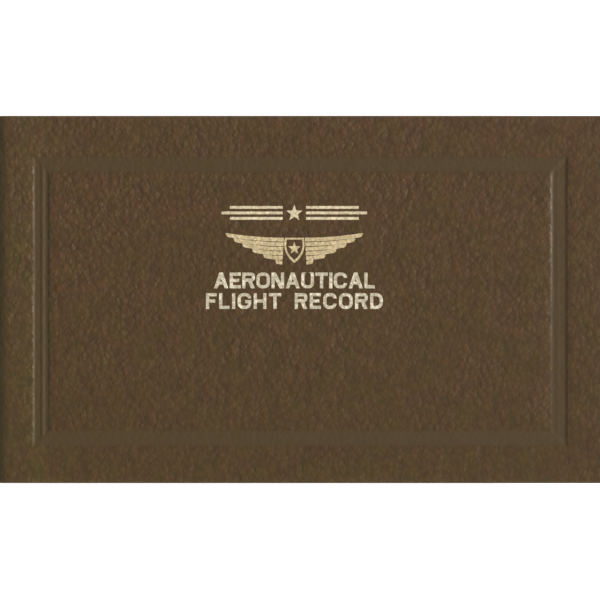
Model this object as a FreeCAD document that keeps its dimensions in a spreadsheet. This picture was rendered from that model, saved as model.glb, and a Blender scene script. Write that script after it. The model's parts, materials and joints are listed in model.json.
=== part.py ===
import FreeCAD, Part
import math
import os
import re
import Sketcher

# A pilot's record book: a sewn block of ruled leaves in a leather-covered hard case.
#
# The book lies closed on its back cover.  Origin: centre of its box on the underside.
# +X runs from the spine to the fore-edge, +Y to the head of the page, +Z up through the
# front cover.  All sizes are in millimetres.
#
# It opens flat at its middle.  Three parallel hinge lines run along Y, all at the same
# distance (one cover thickness) inside the spine's outer face:
#   the back hinge, level with the back cover's inner face: the spine turns there
#   the front hinge, level with the front cover's inner face: the front cover turns there
#   the block hinge, halfway between them: the front half of the leaves turns there

DRIVING_SIZES = [
    ("cover_length", 294.0, "spine's outer face to the fore-edge of the covers"),
    ("cover_height", 171.5, "head to tail"),
    ("book_thick", 22.0, "outside to outside, closed"),
    ("skin", 0.7, "leather on the outside of the case"),
    ("board", 2.1, "millboard of the covers"),
    ("turn_in", 0.4, "pared leather folded over onto the boards' inner faces"),
    ("endpaper", 0.2, "pastedowns and flyleaves"),
    ("turn_in_width", 15.0, "how far the leather is folded over"),
    ("bevel_width", 5.0, "bevel of the boards beside the joint grooves"),
    ("bevel_depth", 1.1, "how much the bevel takes off the boards' edges"),
    ("overhang", 3.5, "covers past the leaves at head, tail and fore-edge"),
    ("edge_round", 1.3, "outer edges of the leather-covered boards"),
    ("corner_round", 1.6, "corners of the leather-covered boards"),
    ("joint_width", 11.0, "spine's outer face to the covers' spine-side edges"),
    ("joint_depth", 2.3, "depth of the grooves between spine and covers"),
    ("joint_bend", 1.0, "radius of the leather where it dips into a groove"),
    ("spine_card", 1.4, "stiffener inside the spine"),
    ("card_inset", 1.0, "spine stiffener's edges inside the covers' outer faces"),
    ("spine_round", 0.6, "long outer edges of the spine"),
    ("paper_lining", 0.25, "paper glued over the block's cloth lining"),
    ("cloth_lining", 0.25, "open cloth glued over the sewn folds"),
    ("lining_short", 6.0, "cloth lining stops this far from head and tail"),
    ("wing_width", 25.0, "cloth glued onto each board beside the joint"),
    ("thread", 0.5, "sewing thread"),
    ("leaf_gap", 0.05, "air beside the leaves"),
    ("fold_gap", 0.02, "air between two sewn sections"),
    ("sections", 6.0, "folded sections in each half of the block"),
    ("band", 2.0, "thickness of the woven bands at head and tail"),
    ("frame_inset_x", 17.25, "pressed frame inside the front cover's spine and fore edges"),
    ("frame_inset_y", 18.5, "pressed frame inside the front cover's head and tail"),
    ("frame_drop", 0.9, "pressed frame's centre below the cover's centre"),
    ("frame_band", 6.95, "width of the pressed frame"),
    ("frame_depth", 0.3, "depth of the pressed frame"),
    ("score_width", 1.2, "score line along the frame's inner edge"),
    ("score_depth", 0.45, "depth of that score line"),
    ("foil", 0.06, "thickness of the stamped foil with its adhesive"),
    ("foil_centre", 2.8, "x of the stamped decoration's centre"),
    ("rule_y", 40.4, "height of the stamped rule above the cover's centre"),
    ("rule_length", 67.8, "length of the stamped rule with its star"),
    ("rule_height", 6.4, "height of the stamped rule"),
    ("emblem_y", 24.0, "height of the winged shield above the cover's centre"),
    ("emblem_span", 64.0, "tip to tip of the winged shield"),
    ("title_y", 8.9, "height of the title's first line above the cover's centre"),
    ("title_pitch", 9.6, "distance between the title's two lines"),
    ("letter_height", 7.4, "height of the title's capitals"),
    ("letter_stroke", 1.5, "stroke of the title's capitals"),
    ("title_first", 75.0, "length of the title's first line"),
    ("title_second", 82.5, "length of the title's second line"),
]
ALIASES = {alias for alias, value, note in DRIVING_SIZES}

# Places that many pieces share, as formulas of the sheet's cells.
SPINE_X = "-cover_length / 2"
FORE_X = "cover_length / 2"
GROOVE_X = "joint_width - cover_length / 2"
CASE_STACK = "skin + board + turn_in"
COVER_STACK = "skin + board + turn_in + endpaper"
HINGE_X = "skin + board + turn_in + endpaper - cover_length / 2"
FOLD_X = HINGE_X + " + paper_lining + cloth_lining + thread"
LEAVES_LENGTH = f"cover_length / 2 - overhang - ({FOLD_X})"
LEAVES_HEIGHT = "cover_height - 2 * overhang"
SECTION_PITCH = f"(book_thick / 2 - ({COVER_STACK}) - 2 * leaf_gap - endpaper) / sections"

doc = FreeCAD.newDocument("record_book")


def fill_sheet():
    """Write the driving sizes into the document's spreadsheet."""
    sheet = doc.addObject("Spreadsheet::Sheet", "Sizes")
    for row, (alias, value, note) in enumerate(DRIVING_SIZES, start=1):
        sheet.set(f"A{row}", str(value))
        sheet.setAlias(f"A{row}", alias)
        sheet.set(f"B{row}", note)
    doc.recompute()
    return sheet


sizes = fill_sheet()
parts = []


def bind(thing, prop, formula):
    """Bind a property to a formula of the sheet's cells."""
    def cell(match):
        word = match.group(0)
        return f"Sizes.{word}" if word in ALIASES else word
    thing.setExpression(prop, re.sub(r"[a-z_]+", cell, formula))


def place(thing, prop, corner):
    """Bind a placement's base to three formulas."""
    for axis, formula in zip("xyz", corner):
        bind(thing, f"{prop}.Base.{axis}", formula)


def keep(piece, label):
    """Name a finished piece and list it for export."""
    piece.Label = label
    parts.append(piece)
    return piece


def slab(name, low, size):
    """A rectangular block from its low corner and its size, as formulas."""
    block = doc.addObject("Part::Box", name)
    for prop, formula in zip(("Length", "Width", "Height"), size):
        bind(block, prop, formula)
    place(block, ".Placement", low)
    return block


def origin_plane(body, role):
    """A body's own origin plane."""
    return [plane for plane in body.Origin.OriginFeatures if plane.Role == role][0]


def sketch_on(body, name, role, corner):
    """An empty sketch on an origin plane, shifted by formulas in the plane's own axes."""
    sketch = body.newObject("Sketcher::SketchObject", name)
    sketch.AttachmentSupport = (origin_plane(body, role), [""])
    sketch.MapMode = "FlatFace"
    place(sketch, ".AttachmentOffset", corner)
    return sketch


def rectangle(sketch, width, height, inset=None):
    """A rectangle with one corner at the sketch's origin, or inset from such a one."""
    start = len(sketch.Geometry)
    low = 1.0 if inset else 0.0
    corners = [(low, low), (low + 2, low), (low + 2, low + 2), (low, low + 2)]
    for first, second in zip(corners, corners[1:] + corners[:1]):
        ends = [FreeCAD.Vector(*point, 0) for point in (first, second)]
        sketch.addGeometry(Part.LineSegment(*ends), False)
    for side in range(4):
        following = start + (side + 1) % 4
        sketch.addConstraint(Sketcher.Constraint("Coincident", start + side, 2, following, 1))
    for side, direction in enumerate(("Horizontal", "Vertical", "Horizontal", "Vertical")):
        sketch.addConstraint(Sketcher.Constraint(direction, start + side))
    lengths = {"DistanceX": (start, width), "DistanceY": (start + 1, height)}
    for kind, (side, formula) in lengths.items():
        row = sketch.addConstraint(Sketcher.Constraint(kind, side, 1, side, 2, 2.0))
        bind(sketch, f"Constraints[{row}]", formula)
    if inset:
        for kind in ("DistanceX", "DistanceY"):
            row = sketch.addConstraint(Sketcher.Constraint(kind, -1, 1, start, 1, low))
            bind(sketch, f"Constraints[{row}]", inset)
    else:
        sketch.addConstraint(Sketcher.Constraint("Coincident", start, 1, -1, 1))


def pad(body, name, sketch, length):
    """Add a sketch's outline, extruded along its normal."""
    feature = body.newObject("PartDesign::Pad", name)
    feature.Profile = sketch
    bind(feature, "Length", length)
    doc.recompute()
    return feature


def pocket(body, name, sketch, depth, upwards):
    """Cut a sketch's outline, and stop if that takes nothing away."""
    before = body.Shape.Volume
    feature = body.newObject("PartDesign::Pocket", name)
    feature.Profile = sketch
    feature.Reversed = upwards
    bind(feature, "Length", depth)
    doc.recompute()
    if body.Shape.Volume > before - 1.0:
        raise RuntimeError(f"{name} cuts nothing from {body.Label}")
    return feature


def round_edges(body, name, base, chosen, radius):
    """Round the edges of a feature that a test picks."""
    doc.recompute()
    feature = body.newObject("PartDesign::Fillet", name)
    picked = [f"Edge{row}" for row, edge in enumerate(base.Shape.Edges, start=1) if chosen(edge)]
    feature.Base = (base, picked)
    bind(feature, "Radius", radius)
    doc.recompute()
    return feature


def bevel_edge(body, name, base, chosen, side_cut, face_cut):
    """Bevel the edge of a feature that a test picks, by a cut into each of its two faces."""
    doc.recompute()
    picked = [row for row, edge in enumerate(base.Shape.Edges, start=1) if chosen(edge)]
    before = body.Shape.Volume
    feature = body.newObject("PartDesign::Chamfer", name)
    feature.Base = (base, [f"Edge{row}" for row in picked])
    feature.ChamferType = "Two distances"
    bind(feature, "Size", side_cut)
    bind(feature, "Size2", face_cut)
    doc.recompute()
    if body.Shape.Volume > before - 1.0:
        raise RuntimeError(f"{name} takes nothing from {body.Label}")
    return feature


def runs_along(edge, axis):
    """Whether a straight edge runs along X, Y or Z."""
    if len(edge.Vertexes) != 2:
        return False
    step = edge.Vertexes[1].Point - edge.Vertexes[0].Point
    return abs(abs(step[axis]) - edge.Length) < 1e-6


def at_height(edge, height):
    """Whether an edge lies in a horizontal plane."""
    box = edge.BoundBox
    return max(abs(box.ZMin - height), abs(box.ZMax - height)) < 1e-6


def cover_board(side, board_low, outer_height):
    """A cover's millboard, bevelled on its outer face beside the joint groove."""
    label = f"{side}_board"
    body = doc.addObject("PartDesign::Body", label)
    outline = sketch_on(body, f"{label}_outline", "XY_Plane",
                        (f"{GROOVE_X} + skin", "skin - cover_height / 2", board_low))
    rectangle(outline, "cover_length - joint_width - 2 * skin", "cover_height - 2 * skin")
    blank = pad(body, f"{label}_blank", outline, "board")
    joint_x = blank.Shape.BoundBox.XMin

    def outer_joint_edge(edge):
        at_joint = runs_along(edge, 1) and abs(edge.Vertexes[0].X - joint_x) < 1e-6
        return at_joint and at_height(edge, outer_height)

    bevel_edge(body, f"{label}_bevel", blank, outer_joint_edge, "bevel_depth", "bevel_width")
    return keep(body, label)


def cover_leather(side, board, case_low, infill_low, outer_height):
    """Leather over one board: outer face, four edges and the folded-over frame inside."""
    label = f"{side}_cover_leather"
    body = doc.addObject("PartDesign::Body", f"{label}_body")
    whole = sketch_on(body, f"{label}_outline", "XY_Plane", (GROOVE_X, "-cover_height / 2", case_low))
    rectangle(whole, "cover_length - joint_width", "cover_height")
    blank = pad(body, f"{label}_blank", whole, CASE_STACK)
    corners = round_edges(body, f"{label}_corners", blank, lambda edge: runs_along(edge, 2),
                          "corner_round")
    round_edges(body, f"{label}_edges", corners, lambda edge: at_height(edge, outer_height),
                "edge_round")
    infill_corner = (f"{GROOVE_X} + skin", "turn_in_width - cover_height / 2", infill_low)
    infill_space = sketch_on(body, f"{label}_infill_space", "XY_Plane", infill_corner)
    rectangle(infill_space, "cover_length - joint_width - skin - turn_in_width",
              "cover_height - 2 * turn_in_width")
    pocket(body, f"{label}_infill_pocket", infill_space, "turn_in", True)
    round_board = doc.addObject("Part::Cut", f"{label}_round_board")
    round_board.Base = body
    round_board.Tool = board
    keep(round_board, label)
    return body


def press_ring(body, name, inset, width, depth):
    """Press a rectangular ring into the front cover's outer face."""
    corner = (f"{GROOVE_X} + frame_inset_x + {inset}",
              f"frame_inset_y + {inset} - frame_drop - cover_height / 2", "book_thick")
    ring = sketch_on(body, f"{name}_outline", "XY_Plane", corner)
    length = f"cover_length - joint_width - 2 * frame_inset_x - 2 * ({inset})"
    height = f"cover_height - 2 * frame_inset_y - 2 * ({inset})"
    rectangle(ring, length, height)
    rectangle(ring, f"{length} - 2 * ({width})", f"{height} - 2 * ({width})", inset=width)
    pocket(body, name, ring, depth, False)


def make_back_case():
    """The back cover: leather, board, cloth wing, infill and pastedown."""
    outer_board_face = float(sizes.get("skin"))
    board = cover_board("back", "skin", outer_board_face)
    cover_leather("back", board, "0", "skin + board", 0.0)
    cover_layers("back", "skin + board", CASE_STACK)


def make_front_case():
    """The front cover, with the frame pressed into its leather."""
    top = float(sizes.get("book_thick"))
    outer_board_face = top - float(sizes.get("skin"))
    board = cover_board("front", "book_thick - skin - board", outer_board_face)
    inner_height = f"book_thick - ({CASE_STACK})"
    body = cover_leather("front", board, inner_height, inner_height, top)
    press_ring(body, "pressed_frame", "0", "frame_band", "frame_depth")
    press_ring(body, "score_line", "frame_band - score_width", "score_width", "score_depth")
    cover_layers("front", inner_height, f"book_thick - ({COVER_STACK})")


def cover_layers(side, infill_low, paper_low):
    """The flat pieces on a board's inner face: cloth wing, infill and pastedown."""
    inner_height = "cover_height - 2 * turn_in_width"
    inner_low = "turn_in_width - cover_height / 2"
    wing = slab(f"{side}_wing_blank", (f"{GROOVE_X} + skin", inner_low, infill_low),
                ("wing_width", inner_height, "turn_in"))
    keep(wing, f"{side}_mull_wing")
    infill_size = ("cover_length - joint_width - skin - turn_in_width - wing_width",
                   inner_height, "turn_in")
    infill = slab(f"{side}_infill_blank",
                  (f"{GROOVE_X} + skin + wing_width", inner_low, infill_low), infill_size)
    keep(infill, f"{side}_infill")
    pastedown = slab(f"{side}_pastedown_blank",
                     (FOLD_X, "overhang - cover_height / 2", paper_low),
                     (LEAVES_LENGTH, LEAVES_HEIGHT, "endpaper"))
    keep(pastedown, f"{side}_pastedown")


def make_spine():
    """The stiff card of the spine and the leather round it."""
    inside = f"{SPINE_X} + skin"
    card = slab("spine_card_blank", (inside, "skin - cover_height / 2", "card_inset"),
                ("spine_card", "cover_height - 2 * skin", "book_thick - 2 * card_inset"))
    keep(card, "spine_strip")
    body = doc.addObject("PartDesign::Body", "spine_leather")
    outline = sketch_on(body, "spine_outline", "XY_Plane",
                        (SPINE_X, "-cover_height / 2", "card_inset - skin"))
    rectangle(outline, "skin + spine_card + turn_in", "cover_height")
    blank = pad(body, "spine_blank", outline, "book_thick - 2 * card_inset + 2 * skin")
    outer_x = -float(sizes.get("cover_length")) / 2

    def on_outer_face(edge):
        return runs_along(edge, 1) and abs(edge.Vertexes[0].X - outer_x) < 1e-6

    round_edges(body, "spine_edges", blank, on_outer_face, "spine_round")
    card_space = sketch_on(body, "spine_card_space", "XY_Plane",
                           (inside, "skin - cover_height / 2", "card_inset"))
    rectangle(card_space, "spine_card", "cover_height - 2 * skin")
    pocket(body, "spine_card_pocket", card_space, "book_thick - 2 * card_inset", True)
    hollow = sketch_on(body, "spine_hollow", "XY_Plane",
                       (f"{inside} + spine_card", "turn_in_width - cover_height / 2", "card_inset"))
    rectangle(hollow, "turn_in", "cover_height - 2 * turn_in_width")
    pocket(body, "spine_hollow_pocket", hollow, "book_thick - 2 * card_inset", True)
    keep(body, "spine_leather")


def joint_leather(label, base_height, sign):
    """Leather of one joint groove: a double bend down from the spine, then a flat floor.

    Its section is drawn with x from the spine leather's inner face and z from the outer
    face of the nearest cover, upwards for sign 1 and downwards for sign -1.
    """
    body = doc.addObject("PartDesign::Body", label)
    start_x = f"{SPINE_X} + skin + spine_card + turn_in"
    section = sketch_on(body, f"{label}_section", "XZ_Plane", (start_x, base_height, "0"))
    skin = float(sizes.get("skin"))
    bend = float(sizes.get("joint_bend"))
    depth = float(sizes.get("joint_depth"))
    low = float(sizes.get("card_inset")) - skin
    middle = low + skin / 2 + bend
    floor_end = (float(sizes.get("joint_width")) - skin - float(sizes.get("spine_card"))
                 - float(sizes.get("turn_in")))
    tight = bend - skin / 2
    wide = bend + skin / 2

    def point(x, z):
        return FreeCAD.Vector(x, sign * z, 0)

    def quarter(centre, radius, first, last):
        """The quarter circle about a centre from the angle first to the angle last."""
        half = (first + last) / 2
        spots = [point(centre[0] + radius * math.cos(math.radians(angle)),
                       centre[1] + radius * math.sin(math.radians(angle)))
                 for angle in (first, half, last)]
        return Part.Arc(*spots)

    near = (0.0, middle)
    far = (2 * bend, middle)
    edges = [
        quarter(near, wide, -90, 0),
        quarter(far, tight, 180, 90),
        Part.LineSegment(point(2 * bend, depth), point(floor_end, depth)),
        Part.LineSegment(point(floor_end, depth), point(floor_end, depth + skin)),
        Part.LineSegment(point(floor_end, depth + skin), point(2 * bend, depth + skin)),
        quarter(far, wide, 90, 180),
        quarter(near, tight, 0, -90),
        Part.LineSegment(point(0, low + skin), point(0, low)),
    ]
    sketch_arcs = [row for row, edge in enumerate(edges) if isinstance(edge, Part.Arc)]
    section.addGeometry(edges, False)
    for row in sketch_arcs:
        radius = "joint_bend + skin / 2" if row in (0, 5) else "joint_bend - skin / 2"
        number = section.addConstraint(Sketcher.Constraint(
            "Radius", row, wide if row in (0, 5) else tight))
        bind(section, f"Constraints[{number}]", radius)
    run = pad(body, f"{label}_run", section, "cover_height")
    run.SideType = "Symmetric"
    doc.recompute()
    keep(body, label)


def folded_section(number):
    """One sewn section of the block, rounded at its fold; section 1 is the front one."""
    per_half = round(float(sizes.get("sections")))
    label = f"signature_{number:02d}"
    body = doc.addObject("PartDesign::Body", label)
    if number <= per_half:
        low = f"book_thick / 2 + leaf_gap + {per_half - number} * {SECTION_PITCH}"
    else:
        low = f"book_thick / 2 - leaf_gap - {number - per_half} * {SECTION_PITCH}"
    outline = sketch_on(body, f"{label}_outline", "XZ_Plane", (FOLD_X, f"{low} + fold_gap / 2", "0"))
    rectangle(outline, LEAVES_LENGTH, f"{SECTION_PITCH} - fold_gap")
    leaves = pad(body, f"{label}_leaves", outline, LEAVES_HEIGHT)
    leaves.SideType = "Symmetric"
    doc.recompute()
    fold_x = leaves.Shape.BoundBox.XMin

    def at_fold(edge):
        return runs_along(edge, 1) and abs(edge.Vertexes[0].X - fold_x) < 1e-6

    round_edges(body, f"{label}_fold", leaves, at_fold, f"0.45 * ({SECTION_PITCH} - fold_gap)")
    keep(body, label)


def flyleaf(label, low):
    """One free endpaper leaf."""
    leaf = slab(f"{label}_blank", (FOLD_X, "overhang - cover_height / 2", low),
                (LEAVES_LENGTH, LEAVES_HEIGHT, "endpaper"))
    keep(leaf, label)


def sewing_thread(label, low):
    """The thread's stitches across the folds of one half of the block."""
    stations = 7
    stitches = []
    for station in range(stations):
        stitch = doc.addObject("Part::Cylinder", f"{label}_{station}")
        share = station / (stations - 1) - 0.5
        bind(stitch, "Radius", "thread / 2")
        bind(stitch, "Height", f"{SECTION_PITCH} * sections - fold_gap")
        place(stitch, ".Placement",
              (f"{FOLD_X} - thread / 2", f"{share:.4f} * (cover_height - 4 * turn_in_width / 3)",
               low))
        stitches.append(stitch)
    thread = doc.addObject("Part::Compound", label)
    thread.Links = stitches
    keep(thread, label)


def make_block():
    """The leaves: twelve sewn sections, two flyleaves, the thread and the linings."""
    per_half = round(float(sizes.get("sections")))
    for number in range(1, 2 * per_half + 1):
        folded_section(number)
    flyleaf("back_flyleaf", f"{COVER_STACK} + leaf_gap")
    flyleaf("front_flyleaf", f"book_thick - ({COVER_STACK}) - leaf_gap - endpaper")
    sewing_thread("front_sewing_thread", "book_thick / 2 + leaf_gap + fold_gap / 2")
    sewing_thread("rear_sewing_thread",
                  f"book_thick / 2 - leaf_gap - {SECTION_PITCH} * sections + fold_gap / 2")
    lining_low = f"{COVER_STACK} + leaf_gap + endpaper"
    lining_thick = f"book_thick - 2 * ({COVER_STACK} + leaf_gap + endpaper)"
    mull = slab("mull_blank",
                (f"{HINGE_X} + paper_lining", "overhang + lining_short - cover_height / 2", lining_low),
                ("cloth_lining", f"{LEAVES_HEIGHT} - 2 * lining_short", lining_thick))
    keep(mull, "spine_mull")
    paper = slab("lining_blank", (HINGE_X, "overhang - cover_height / 2", lining_low),
                 ("paper_lining", LEAVES_HEIGHT, lining_thick))
    keep(paper, "spine_lining_paper")


def end_band(label, centre_y):
    """The woven band at one end of the block's spine."""
    band = doc.addObject("Part::Cylinder", f"{label}_core")
    bind(band, "Radius", "band / 2")
    bind(band, "Height", f"book_thick - 2 * ({COVER_STACK} + leaf_gap + endpaper)")
    place(band, ".Placement",
          (f"{FOLD_X} + band / 2", centre_y, f"{COVER_STACK} + leaf_gap + endpaper"))
    keep(band, label)


def stamped(label, solids, x, y):
    """A stamped decoration: thin solids drawn about a point of the front cover's face."""
    feature = doc.addObject("Part::Feature", label)
    feature.Shape = Part.makeCompound(solids)
    top = float(sizes.get("book_thick"))
    feature.Placement = FreeCAD.Placement(FreeCAD.Vector(x, y, top), FreeCAD.Rotation())
    keep(feature, label)


def foil_from(edges):
    """A closed outline of edges, as foil."""
    face = Part.Face(Part.Wire(Part.__sortEdges__([edge.toShape() for edge in edges])))
    return face.extrude(FreeCAD.Vector(0, 0, float(sizes.get("foil"))))


def foil_polygon(points):
    """A polygon, as foil."""
    corners = [FreeCAD.Vector(x, y, 0) for x, y in points]
    sides = zip(corners, corners[1:] + corners[:1])
    return foil_from([Part.LineSegment(first, second) for first, second in sides])


def foil_bar(x0, y0, x1, y1):
    """An upright rectangle, as foil."""
    return foil_polygon([(x0, y0), (x1, y0), (x1, y1), (x0, y1)])


def foil_star(radius, x=0.0, y=0.0):
    """A five-pointed star, as foil."""
    points = []
    for tip in range(10):
        reach = radius if tip % 2 == 0 else 0.42 * radius
        angle = math.radians(90 + 36 * tip)
        points.append((x + reach * math.cos(angle), y + reach * math.sin(angle)))
    return foil_polygon(points)


def rounded_foil(x0, y0, x1, y1, radius):
    """A rectangle with round corners, as foil."""
    block = foil_bar(x0, y0, x1, y1)
    upright = [edge for edge in block.Edges if runs_along(edge, 2)]
    return block.makeFillet(radius, upright)


def foil_loop(x0, y0, x1, y1, stroke):
    """A ring with round corners, as foil."""
    radius = 0.42 * min(x1 - x0, y1 - y0)
    hole = rounded_foil(x0 + stroke, y0 + stroke, x1 - stroke, y1 - stroke,
                        max(radius - stroke, 0.2))
    return rounded_foil(x0, y0, x1, y1, radius).cut(hole)


def letter_strokes(letter, width, height, stroke):
    """The strokes of one block capital, in a cell from 0 to width and 0 to height."""
    left = foil_bar(0, 0, stroke, height)
    right = foil_bar(width - stroke, 0, width, height)
    top = foil_bar(0, height - stroke, width, height)
    middle = foil_bar(0, (height - stroke) / 2, 0.86 * width, (height + stroke) / 2)
    bottom = foil_bar(0, 0, width, stroke)
    cell = foil_bar(0, 0, width, height)
    loop = foil_loop(0, 0, width, height, stroke)
    mouth = foil_bar(width / 2, 0.34 * height, width + stroke, 0.66 * height)
    if letter == "A":
        low = 0.24 * height
        legs = [foil_polygon([(side(0), 0), (side(1.1 * stroke), 0),
                              (width / 2, height - 1.9 * stroke), (width / 2, height),
                              (side(width / 2 - 0.55 * stroke), height)])
                for side in (lambda x: x, lambda x: width - x)]
        return legs + [foil_bar(0.2 * width, low, 0.8 * width, low + 0.9 * stroke)]
    if letter == "C":
        return [loop.cut(mouth)]
    if letter == "D":
        bowl = foil_loop(-0.35 * width, 0, width, height, stroke).common(cell)
        return [left, bowl]
    if letter == "E":
        return [left, top, middle, bottom]
    if letter == "F":
        return [left, top, middle]
    if letter == "G":
        shelf = foil_bar(0.55 * width, 0.36 * height, width, 0.36 * height + stroke)
        jaw = foil_bar(width - stroke, 0.3 * height, width, 0.36 * height + stroke)
        return [loop.cut(mouth), shelf, jaw]
    if letter == "H":
        return [left, right, foil_bar(0, (height - stroke) / 2, width, (height + stroke) / 2)]
    if letter == "I":
        return [left]
    if letter == "L":
        return [left, bottom]
    if letter == "N":
        slant = foil_polygon([(0, height), (1.35 * stroke, height), (width, 0),
                              (width - 1.35 * stroke, 0)])
        return [left, right, slant]
    if letter == "O":
        return [loop]
    if letter == "R":
        low = 0.42 * height
        leg_x = 0.42 * width
        bowl = foil_loop(-0.35 * width, low, width, height, stroke).common(cell)
        leg = foil_polygon([(leg_x, low + stroke / 2), (leg_x + 1.2 * stroke, low + stroke / 2),
                            (width, 0), (width - 1.25 * stroke, 0)])
        return [left, bowl, leg]
    if letter == "T":
        return [top, foil_bar((width - stroke) / 2, 0, (width + stroke) / 2, height)]
    if letter == "U":
        bowl = foil_loop(0, 0, width, 1.2 * height, stroke)
        return [bowl.common(cell)]
    raise ValueError(f"no capital drawn for {letter}")


def letter_width(letter, height, stroke):
    """How wide a block capital is."""
    narrow = {"I": stroke, "L": 0.66 * height, "E": 0.70 * height, "F": 0.68 * height,
              "T": 0.78 * height, "A": 0.90 * height, "O": 0.86 * height, "C": 0.84 * height,
              "G": 0.86 * height}
    return narrow.get(letter, 0.80 * height)


def title_line(words, length, y):
    """One line of block capitals, spread evenly over a length about x = 0."""
    height = float(sizes.get("letter_height"))
    stroke = float(sizes.get("letter_stroke"))
    space = 0.55 * height
    widths = [space if letter == " " else letter_width(letter, height, stroke)
              for letter in words]
    gap = (length - sum(widths)) / (len(words) - 1)
    letters = []
    x = -length / 2
    for letter, width in zip(words, widths):
        if letter != " ":
            strokes = letter_strokes(letter, width, height, stroke)
            solid = strokes[0]
            if len(strokes) > 1:
                solid = solid.multiFuse(strokes[1:]).removeSplitter()
            for piece in solid.Solids:
                piece.translate(FreeCAD.Vector(x, y - height / 2, 0))
                letters.append(piece)
        x += width + gap
    return letters


def make_title():
    """Two lines that say what the book is for."""
    lines = title_line("AERONAUTICAL", float(sizes.get("title_first")), 0.0)
    lines += title_line("FLIGHT RECORD", float(sizes.get("title_second")),
                        -float(sizes.get("title_pitch")))
    stamped("title_foil", lines, float(sizes.get("foil_centre")), float(sizes.get("title_y")))


def make_rule():
    """A star between two groups of three parallel bars."""
    reach = float(sizes.get("rule_length")) / 2
    height = float(sizes.get("rule_height"))
    bar = height / 5
    star_room = 0.85 * height
    solids = [foil_star(0.62 * height, 0, -0.03 * height)]
    for row in range(3):
        low = -height / 2 + 2 * bar * row
        for side in (-1, 1):
            ends = sorted((side * star_room, side * (reach - 3 * bar * abs(row - 1))))
            solids.append(foil_bar(ends[0], low, ends[1], low + bar))
    stamped("rule_foil", solids, float(sizes.get("foil_centre")), float(sizes.get("rule_y")))


def shield_edges(half_width, top, bottom):
    """A shield's outline: a flat top and two curved sides that meet at the bottom."""
    cheek = 0.86 * half_width
    waist = bottom + 0.36 * (top - bottom)
    corners = [FreeCAD.Vector(side * half_width, top, 0) for side in (-1, 1)]
    foot = FreeCAD.Vector(0, bottom, 0)
    right = Part.Arc(corners[1], FreeCAD.Vector(cheek, waist, 0), foot)
    left = Part.Arc(foot, FreeCAD.Vector(-cheek, waist, 0), corners[0])
    return [Part.LineSegment(*corners), right, left]


def feather(side, root, tip, low, width, rise):
    """One feather: two edges that curve upwards and a slanting round tip."""
    def spot(share, height):
        x = root + (tip - root) * share
        return FreeCAD.Vector(side * x, low + height + rise * share * share, 0)
    lower = Part.Arc(spot(0, 0), spot(0.5, 0), spot(0.93, 0))
    end = Part.Arc(spot(0.93, 0), spot(0.992, 0.45 * width), spot(1.0, width))
    upper = Part.Arc(spot(1.0, width), spot(0.5, width), spot(0, width))
    return foil_from([lower, end, upper, Part.LineSegment(spot(0, width), spot(0, 0))])


def make_emblem():
    """A shield with a star between two wings of separate, stepped feathers."""
    reach = float(sizes.get("emblem_span")) / 2
    half_width = 0.135 * reach
    top = 0.15 * reach
    bottom = -0.215 * reach
    rim = 0.026 * reach
    outer = foil_from(shield_edges(half_width, top, bottom))
    inner = foil_from(shield_edges(half_width - rim, top - rim, bottom + 1.7 * rim))
    solids = [outer.cut(inner), foil_star(0.095 * reach, 0, -0.005 * reach)]
    tiers = 6
    width = 0.056 * reach
    for tier in range(tiers):
        low = 0.095 * reach - 0.067 * reach * tier
        root = 0.155 * reach + 0.004 * reach * tier
        tip = reach * (1.0 - 0.105 * tier - 0.008 * tier * tier)
        rise = 0.07 * reach * (tip / reach)
        for side in (-1, 1):
            solids.append(feather(side, root, tip, low, width, rise))
    stamped("wings_foil", solids, float(sizes.get("foil_centre")), float(sizes.get("emblem_y")))


def check_and_export():
    """Stop on any failed object or shape, then write one file for each piece."""
    doc.recompute()
    failed = [thing.Label for thing in doc.Objects
              if "Invalid" in thing.State or "Error" in thing.State]
    if failed:
        raise RuntimeError(f"failed objects: {failed}")
    for piece in parts:
        if piece.Shape.isNull() or not piece.Shape.isValid():
            raise RuntimeError(f"bad shape: {piece.Label}")
    os.makedirs("parts", exist_ok=True)
    for piece in parts:
        piece.Shape.exportStep(f"parts/{piece.Label}.step")
        box = piece.Shape.BoundBox
        print(f"{piece.Label:22s} {len(piece.Shape.Solids):3d} solids {piece.Shape.Volume:10.1f} mm3"
              f"  x {box.XMin:8.2f} {box.XMax:8.2f}  y {box.YMin:7.2f} {box.YMax:7.2f}"
              f"  z {box.ZMin:6.2f} {box.ZMax:6.2f}")
    print(len(parts), "pieces")


make_back_case()
make_front_case()
make_spine()
joint_leather("back_joint_leather", "0", 1)
joint_leather("front_joint_leather", "book_thick", -1)
make_block()
end_band("headband", "cover_height / 2 - overhang + band / 2")
end_band("tailband", "overhang - cover_height / 2 - band / 2")
make_rule()
make_emblem()
make_title()
check_and_export()
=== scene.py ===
import json
import math
import random

import bmesh
import bpy
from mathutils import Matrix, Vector, noise


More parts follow.
